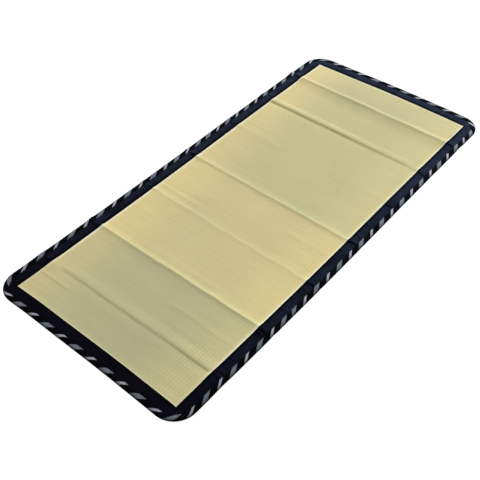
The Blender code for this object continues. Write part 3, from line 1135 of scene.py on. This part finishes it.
def stitch_line(name, depth, pitch, length, radius, height_at):
    """A line of stitches all round the mat at one depth."""
    bm = bmesh.new()
    count = 0
    for side, (_, _, _, half_length) in SIDES.items():
        end = half_length - BORDER_WIDTH - STITCH_CLEARANCE
        middle_depth = hem_depth(side, depth)
        for along in evenly(-end, end, pitch):
            base = height_at(side, along) + edge_lift(side, along)
            rings = []
            for share, thickness, rise in STITCH_PARTS:
                thick = radius * thickness
                x, y = plan_point(side, along + share * length, middle_depth)
                out_x, out_y = plan_point(side, along + share * length, middle_depth - thick)
                ring = []
                for k in range(THREAD_SIDES):
                    angle = 2 * math.pi * k / THREAD_SIDES
                    px = x + (out_x - x) * math.cos(angle)
                    py = y + (out_y - y) * math.cos(angle)
                    ring.append(settled(px, py, base + rise * radius + thick * math.sin(angle)))
                rings.append(ring)
            loft(bm, rings)
            count += 1
    print(name, "has", count, "stitches")
    return new_piece(name, bm)


def hem_height(side, along):
    """The height of the cloth under a stitch of the border."""
    return BORDER_TOP - HEM_DIP + border_give(side, along, HEM_LINE)


def tape_lip_height(side, along):
    """The height of the tape under its stitches, the same all round."""
    return TAPE_STITCH_HEIGHT


border_stitches = stitch_line(
    "border_stitches", HEM_LINE, BORDER_STITCH_PITCH, length=3.0, radius=0.3,
    height_at=hem_height,
)
tape_stitches = stitch_line(
    "tape_stitches", TAPE_STITCH_LINE, TAPE_STITCH_PITCH, length=4.0, radius=0.35,
    height_at=tape_lip_height,
)

# %% [markdown]
# ## Materials
#
# A material is a small network of nodes. Three helpers do for all of them. One turns a colour as a
# paint program shows it into the linear light that the renderer adds up. One adds a node with its
# settings and its links. The last makes a mottle, since nothing made by hand has one even colour.

# %% Helpers for materials


def linear(code):
    """A colour as hex digits, turned to linear red, green, blue and alpha."""
    shares = [int(code[k:k + 2], 16) / 255 for k in (1, 3, 5)]
    light = [s / 12.92 if s <= 0.04045 else ((s + 0.055) / 1.055) ** 2.4 for s in shares]
    return (*light, 1.0)


def add_node(tree, kind, inputs=None, **settings):
    """Adds a node, sets it up, and gives each named input a value or a link."""
    made = tree.nodes.new(kind)
    for name, value in settings.items():
        setattr(made, name, value)
    for key, value in (inputs or {}).items():
        if isinstance(key, str):
            socket = next(s for s in made.inputs if s.name == key and s.enabled)
        else:
            socket = made.inputs[key]
        if isinstance(value, bpy.types.Node):
            value = next(s for s in value.outputs if s.enabled)
        if isinstance(value, bpy.types.NodeSocket):
            tree.links.new(value, socket)
        else:
            socket.default_value = value
    return made


def new_material(name):
    """An empty material and its node tree."""
    made = bpy.data.materials.new(name)
    made.use_nodes = True
    made.node_tree.nodes.clear()
    return made, made.node_tree


def mottle(tree, place, scale, detail, spread, values, roughness=0.5):
    """A noise with a scale for each axis. Its spread of levels becomes two values."""
    stretched = add_node(
        tree, "ShaderNodeMapping", {"Vector": place.outputs["Object"], "Scale": scale}
    )
    cloud = add_node(
        tree, "ShaderNodeTexNoise",
        {"Vector": stretched, "Scale": 1.0, "Detail": detail, "Roughness": roughness},
    )
    return add_node(
        tree, "ShaderNodeMapRange",
        {"Value": cloud.outputs["Fac"], "From Min": spread[0], "From Max": spread[1],
         "To Min": values[0], "To Max": values[1]},
    )


print("straw colour in linear light:", [round(c, 3) for c in linear("#CDC48E")])

# %% [markdown]
# ### Woven rush
#
# Rush is a dried marsh plant. It is not dyed, only steamed and pressed on the loom. Its skin is
# waxy, which gives it a soft satin light. Fresh rush is greenish. Light bleaches it to straw and
# tan, and each panel of the folded mat has had a different share of it. The stalks are about 1.7 mm
# thick and lie across the mat. The threads that bind them run along it, 4.2 mm apart, and press
# grooves between rows of small bulges. That is too fine for the picture, so every third groove and
# every seventh stalk are drawn stronger. The bulges are relief in the material: they are too many
# to be mesh.

# %% Rush colour
STALK_MM = 1.7
THREAD_SPACING_MM = 4.2
TAN_TINT = (1.12, 1.0, 0.985, 1.0)  # what a full tan multiplies red, green and blue by

rush_material, tree = new_material("woven rush, steamed and pressed")
place = add_node(tree, "ShaderNodeTexCoord")
position = add_node(tree, "ShaderNodeSeparateXYZ", {"Vector": place.outputs["Object"]})
marks = {
    name: add_node(tree, "ShaderNodeAttribute", attribute_name=name).outputs["Fac"]
    for name in MARKS
}
blotch = mottle(tree, place, (2.2, 7.0, 1.0), 3.0, (0.34, 0.66), (-0.06, 0.06))
# The fading mark also carries the painted highlight at the far left.
bleach_and_highlight = add_node(
    tree, "ShaderNodeMath", {0: marks["fading_and_highlight"], 1: blotch}, operation="ADD", use_clamp=True
)
tan_blotch = mottle(tree, place, (3.1, 3.1, 3.1), 2.0, (0.36, 0.64), (-0.15, 0.15))
# The tan mark also carries the painted highlight on the far slopes.
tan_and_highlight_share = add_node(
    tree, "ShaderNodeMath", {0: marks["tan_and_highlight"], 1: tan_blotch}, operation="ADD", use_clamp=True
)
colour = add_node(
    tree, "ShaderNodeMix",
    {"Factor": bleach_and_highlight, "A": linear("#B2AE87"), "B": linear("#D6CF94")}, data_type="RGBA",
)
colour = add_node(
    tree, "ShaderNodeMix", {"Factor": tan_and_highlight_share, "A": colour, "B": TAN_TINT},
    data_type="RGBA", blend_type="MULTIPLY",
)
print("the mesh gives this material", len(marks), "marks")

# %% [markdown]
# Each stalk has its own tint, and where a wet or a dry harvest changed over on the loom, a broader
# streak runs across the mat. The grooves show clearly only in the loose patches, in short lines of
# uneven strength, and faintly wherever the sheet happened to be pressed less.

# %% Rush streaks and weave
STREAKS = (0.95, 1.0)
STALK_ROWS = 7
WEAVE_MEAN = 0.25  # of the pattern, so that deeper grooves don't make a patch darker as a whole

streaks = mottle(tree, place, (3.0, 90.0, 1.0), 3.0, (0.3, 0.7), STREAKS)
stalks = mottle(tree, place, (8.0, 1 / (STALK_MM * MM), 1.0), 1.0, (0.3, 0.7), (0.95, 1.05))
ribs = []
for spacing in (THREAD_SPACING_MM, 3 * THREAD_SPACING_MM):
    wave = add_node(
        tree, "ShaderNodeMath", {0: position.outputs["X"], 1: 2 * math.pi / (spacing * MM)},
        operation="MULTIPLY",
    )
    cosine = add_node(tree, "ShaderNodeMath", {0: wave}, operation="COSINE")
    ribs.append(add_node(
        tree, "ShaderNodeMapRange",
        {"Value": cosine, "From Min": -1.0, "From Max": 0.4}, interpolation_type="SMOOTHSTEP",
    ))
rib = add_node(tree, "ShaderNodeMath", {0: ribs[0], 1: ribs[1]}, operation="MULTIPLY")
stalk_wave, row_wave = [
    add_node(
        tree, "ShaderNodeMath", {0: position.outputs["Y"], 1: math.pi / (length * MM)},
        operation="MULTIPLY",
    )
    for length in (STALK_MM, STALK_ROWS * STALK_MM / 2)
]
stalk_sine = add_node(tree, "ShaderNodeMath", {0: stalk_wave}, operation="SINE")
stalk_round = add_node(tree, "ShaderNodeMath", {0: stalk_sine}, operation="ABSOLUTE")
weave_height = add_node(tree, "ShaderNodeMath", {0: rib, 1: stalk_round}, operation="MULTIPLY")
row_sine = add_node(tree, "ShaderNodeMath", {0: row_wave}, operation="SINE")
row = add_node(
    tree, "ShaderNodeMapRange",
    {"Value": row_sine, "From Min": -1.0, "From Max": 0.2, "To Min": 0.25},
    interpolation_type="SMOOTHSTEP",
)
cross = add_node(tree, "ShaderNodeMath", {0: rib, 1: row}, operation="MULTIPLY")
groove = add_node(tree, "ShaderNodeMath", {0: WEAVE_MEAN, 1: cross}, operation="SUBTRACT")
loose_lines = mottle(tree, place, (30.0, 95.0, 1.0), 1.0, (0.35, 0.65), (0.02, 0.42))
faint_lines = mottle(tree, place, (7.0, 7.0, 7.0), 1.0, (0.51, 0.67), (0.015, 0.08))
groove_depth = add_node(
    tree, "ShaderNodeMath", {0: marks["loose"], 1: loose_lines, 2: faint_lines},
    operation="MULTIPLY_ADD",
)
groove_shade = add_node(
    tree, "ShaderNodeMath", {0: groove, 1: groove_depth}, operation="MULTIPLY"
)
weave_shade = add_node(tree, "ShaderNodeMath", {0: 1.0, 1: groove_shade}, operation="SUBTRACT")
print(rush_material.name, "uses", len(tree.nodes), "nodes so far")

# %% [markdown]
# Sharp crests are drawn paler, as a painted highlight, and the hollows beside them darker, as
# painted shade. The bend of the sheet, measured when its mesh was made, says where. Right beside
# the border the rush is drawn palest, except at the near end.

# %% Rush painted light and shader
BEND_PAINTED_LIGHT = (
    # the bend where it starts and where it is full, its share there, its colour
    (-0.1, -0.6, 0.5, "#DFD8A4"),  # painted highlight on sharp crests
    (0.05, 0.4, 0.45, "#98925F"),  # painted shade in the hollows
)
ROUGHNESS = (0.58, 0.70)  # of the dark and of the light streaks

# Painted highlight on the crests and painted shade in the hollows, by the bend of the sheet.
for bend_from, bend_to, most, tint in BEND_PAINTED_LIGHT:
    tint_share = add_node(
        tree, "ShaderNodeMapRange",
        {"Value": marks["bend"], "From Min": bend_from, "From Max": bend_to, "To Max": most},
    )
    colour = add_node(
        tree, "ShaderNodeMix", {"Factor": tint_share, "A": colour, "B": linear(tint)}, data_type="RGBA"
    )
# A pale strip beside the border, from the selvedge mark.
colour = add_node(
    tree, "ShaderNodeMix", {"Factor": marks["selvedge"], "A": colour, "B": linear("#F2EFD2")},
    data_type="RGBA",
)
shade = streaks
for factor in (stalks, weave_shade):
    shade = add_node(tree, "ShaderNodeMath", {0: shade, 1: factor}, operation="MULTIPLY")
colour = add_node(tree, "ShaderNodeVectorMath", {0: colour, "Scale": shade}, operation="SCALE")
relief = add_node(
    tree, "ShaderNodeBump", {"Strength": 0.5, "Distance": 0.0005, "Height": weave_height}
)
roughness = add_node(
    tree, "ShaderNodeMapRange",
    {"Value": streaks, "From Min": STREAKS[0], "From Max": STREAKS[1],
     "To Min": ROUGHNESS[0], "To Max": ROUGHNESS[1]},
)
rush_skin = add_node(
    tree, "ShaderNodeBsdfPrincipled",
    {"Base Color": colour, "Roughness": roughness, "IOR": 1.45, "Specular IOR Level": 0.10,
     "Normal": relief},
)
add_node(tree, "ShaderNodeOutputMaterial", {"Surface": rush_skin})
rush_piece.data.materials.append(rush_material)
print(rush_material.name, "uses", len(tree.nodes), "nodes")

# %% [markdown]
# ### Navy cotton
#
# The border is plain-woven cotton, dyed a navy so deep that it looks black close by. Cotton has no
# gloss, but the fuzz of its fibres catches the light from behind, so it looks lighter and bluer
# towards the far end. The renderer's own sheen comes out too weak for that, so most of the change
# is drawn into the colour, and the worn spots with it. The threads are about 0.4 mm apart, too fine
# for the picture, so the weave is drawn at 1.2 mm. The tape is the same kind of cloth, so both use
# the same two functions.

# %% Navy cotton material
WEAVE_MM = 1.2
COTTON_SHEEN = 0.02


def cotton_ground(tree, place, near_colour, far_colour, worn_and_sheen_colour):
    """The colour of a cotton: painted sheen towards the far end, worn spots growing with it, uneven
    dye.
    """
    spot = add_node(tree, "ShaderNodeSeparateXYZ", {"Vector": place.outputs["Object"]})
    # Painted sheen: the colour runs lighter towards the far end, the side the light comes from.
    painted_sheen_share = add_node(
        tree, "ShaderNodeMapRange",
        {"Value": spot.outputs["Y"], "From Min": -HALF_LENGTH * MM, "From Max": HALF_LENGTH * MM},
    )
    # Worn spots, scaled by the painted sheen, so they show most at the far end.
    tint_share = mottle(tree, place, (26.0, 26.0, 26.0), 5.0, (0.44, 0.74), (0.0, 0.8), 0.65)
    tint_share = add_node(tree, "ShaderNodeMath", {0: tint_share, 1: painted_sheen_share}, operation="MULTIPLY")
    colour = linear(near_colour)
    for share, tint in ((painted_sheen_share, far_colour), (tint_share, worn_and_sheen_colour)):
        colour = add_node(
            tree, "ShaderNodeMix", {"Factor": share, "A": colour, "B": linear(tint)},
            data_type="RGBA",
        )
    dye = mottle(tree, place, (9.0, 9.0, 9.0), 2.0, (0.36, 0.64), (0.72, 1.28))
    return add_node(tree, "ShaderNodeVectorMath", {0: colour, "Scale": dye}, operation="SCALE")


def cotton_skin(tree, place, colour, sheen_tint):
    """The dull surface of a cotton of that colour, with the relief of its plain weave."""
    spot = add_node(tree, "ShaderNodeSeparateXYZ", {"Vector": place.outputs["Object"]})
    waves = []
    for axis in ("X", "Y"):
        turned = add_node(
            tree, "ShaderNodeMath", {0: spot.outputs[axis], 1: math.pi / (WEAVE_MM * MM)},
            operation="MULTIPLY",
        )
        waves.append(add_node(tree, "ShaderNodeMath", {0: turned}, operation="SINE"))
    weave = add_node(tree, "ShaderNodeMath", {0: waves[0], 1: waves[1]}, operation="MULTIPLY")
    relief = add_node(tree, "ShaderNodeBump", {"Strength": 0.5, "Distance": 0.0003, "Height": weave})
    shader = add_node(
        tree, "ShaderNodeBsdfPrincipled",
        {"Base Color": colour, "Roughness": 0.9, "IOR": 1.5, "Specular IOR Level": 0.02,
         "Sheen Weight": COTTON_SHEEN, "Sheen Roughness": 0.5, "Sheen Tint": linear(sheen_tint),
         "Normal": relief},
    )
    add_node(tree, "ShaderNodeOutputMaterial", {"Surface": shader})


navy_material, tree = new_material("navy cotton, plain woven")
place = add_node(tree, "ShaderNodeTexCoord")
navy = cotton_ground(tree, place, "#07040D", "#222C3E", "#2A304A")
# The shade mark paints shade on the steep sides of the puckers, turned from the light, and darkens the
# inner seam.
shade = add_node(tree, "ShaderNodeAttribute", attribute_name="shade")
shaded = add_node(
    tree, "ShaderNodeMix", {"Factor": shade.outputs["Fac"], "A": navy, "B": linear("#030308")},
    data_type="RGBA",
)
cotton_skin(tree, place, shaded, "#46508C")
for piece in (*border_pieces.values(), border_stitches, tape_stitches):
    piece.data.materials.append(navy_material)
print(navy_material.name, "uses", len(tree.nodes), "nodes")

# %% [markdown]
# ### Striped cotton
#
# The tape is nearly black, with grey bands woven in. The material reads the band number that each
# point keeps, and measures how far it is from the nearest whole number. Wide bands are a middle
# grey and narrow ones paler. Both are paler towards the far left, where the light comes from, and
# darker round the rim as painted shade. A little noise frays the edges, as threads do. The black
# ground gets the same painted sheen towards the far end as the border.

# %% Striped cotton material
WIDE_HALF = 0.22  # of the distance from one band to the next
NARROW_HALF = 0.115
BAND_SOFTNESS = 0.012

tape_material, tree = new_material("striped cotton, bias cut")
place = add_node(tree, "ShaderNodeTexCoord")
# The ground gets the same painted sheen towards the far end as the border.
tape_ground = cotton_ground(tree, place, "#020406", "#050E16", "#050A12")
band = add_node(tree, "ShaderNodeAttribute", attribute_name="band")
frayed = mottle(tree, place, (420.0, 420.0, 420.0), 2.0, (0.0, 1.0), (-0.03, 0.03))
number = add_node(
    tree, "ShaderNodeMath", {0: band.outputs["Fac"], 1: frayed}, operation="ADD"
)
whole = add_node(tree, "ShaderNodeMath", {0: number}, operation="ROUND")
offset = add_node(tree, "ShaderNodeMath", {0: number, 1: whole}, operation="SUBTRACT")
distance = add_node(tree, "ShaderNodeMath", {0: offset}, operation="ABSOLUTE")
is_wide = add_node(tree, "ShaderNodeMath", {0: whole, 1: 2.0}, operation="FLOORED_MODULO")
half = add_node(
    tree, "ShaderNodeMix", {"Factor": is_wide, "A": NARROW_HALF, "B": WIDE_HALF},
    data_type="FLOAT",
)
inside = add_node(tree, "ShaderNodeMath", {0: half, 1: distance}, operation="SUBTRACT")
in_band = add_node(
    tree, "ShaderNodeMapRange",
    {"Value": inside, "From Min": -BAND_SOFTNESS, "From Max": BAND_SOFTNESS},
    interpolation_type="SMOOTHSTEP",
)
band_colour = add_node(
    tree, "ShaderNodeMix",
    {"Factor": is_wide, "A": linear("#AEAEBA"), "B": linear("#798089")}, data_type="RGBA",
)
spot = add_node(tree, "ShaderNodeSeparateXYZ", {"Vector": place.outputs["Object"]})
towards_far_left = add_node(
    tree, "ShaderNodeMath", {0: spot.outputs["X"], 1: -0.35, 2: spot.outputs["Y"]},
    operation="MULTIPLY_ADD",
)
band_light = add_node(
    tree, "ShaderNodeMapRange",
    {"Value": towards_far_left, "From Min": -1.2, "From Max": 1.2, "To Min": 0.66, "To Max": 1.62},
)
band_colour = add_node(
    tree, "ShaderNodeVectorMath", {0: band_colour, "Scale": band_light}, operation="SCALE"
)
worn_band = mottle(tree, place, (90.0, 90.0, 90.0), 3.0, (0.3, 0.7), (0.72, 1.0))
across = add_node(tree, "ShaderNodeAttribute", attribute_name="across")
# Painted shade: the bands are drawn darker round the rim.
rim_painted_shade = add_node(
    tree, "ShaderNodeMapRange",
    {"Value": across.outputs["Fac"], "From Min": 0.06, "From Max": 0.46, "To Min": 0.05,
     "To Max": 1.0},
)
band_share = in_band
for factor in (worn_band, rim_painted_shade):
    band_share = add_node(
        tree, "ShaderNodeMath", {0: band_share, 1: factor}, operation="MULTIPLY"
    )
striped = add_node(
    tree, "ShaderNodeMix", {"Factor": band_share, "A": tape_ground, "B": band_colour},
    data_type="RGBA",
)
cotton_skin(tree, place, striped, "#46546C")
for piece in (far_tape, near_tape):
    piece.data.materials.append(tape_material)
print(tape_material.name, "uses", len(tree.nodes), "nodes")

# %% [markdown]
# ## Floor and light
#
# The photograph has a white ground and no shadow at all, as on a lit table. So the floor is opal
# glass lit from below: it gives off its own light and reflects little. The main light is daylight,
# broad and therefore soft. It comes in low over the far end, because the far slopes of the folds
# are bright. A white sky fills the rest.

# %% Floor, light and sky
FLOOR_HALF = 20.0
FLOOR_Z = -0.0002
KEY_PLACE = Vector((-4.2, 10.8, 5.2))
KEY_WIDTH = math.radians(25)  # how broad the light looks from the mat
KEY_POWER = 3.9
SKY_STRENGTH = 0.45

bm = bmesh.new()
corners = ((-1, -1), (1, -1), (1, 1), (-1, 1))
bm.faces.new([bm.verts.new((x * FLOOR_HALF, y * FLOOR_HALF, FLOOR_Z)) for x, y in corners])
floor_mesh = bpy.data.meshes.new("floor")
bm.to_mesh(floor_mesh)
bm.free()
floor = bpy.data.objects.new("floor", floor_mesh)
scene.collection.objects.link(floor)
floor_material, tree = new_material("opal glass table, lit from below")
table = add_node(
    tree, "ShaderNodeBsdfPrincipled",
    {"Base Color": linear("#7C7C7C"), "Roughness": 0.9, "Specular IOR Level": 0.1,
     "Emission Color": linear("#FFFFFF"), "Emission Strength": 0.95},
)
add_node(tree, "ShaderNodeOutputMaterial", {"Surface": table})
floor_mesh.materials.append(floor_material)

key_data = bpy.data.lights.new("daylight", "SUN")
key_data.energy = KEY_POWER
key_data.angle = KEY_WIDTH
key = bpy.data.objects.new("daylight", key_data)
scene.collection.objects.link(key)
key.location = KEY_PLACE
key.rotation_euler = (-KEY_PLACE).to_track_quat("-Z", "Y").to_euler()

world = bpy.data.worlds.new("white sky")
world.use_nodes = True
world.node_tree.nodes.clear()
sky = add_node(
    world.node_tree, "ShaderNodeBackground",
    {"Color": linear("#FFFFFF"), "Strength": SKY_STRENGTH},
)
add_node(world.node_tree, "ShaderNodeOutputWorld", {"Surface": sky})
scene.world = world
scene.view_settings.view_transform = "Standard"
height_angle = math.degrees(math.asin(KEY_PLACE.z / KEY_PLACE.length))
print("the daylight comes in at", round(height_angle), "degrees above the floor")
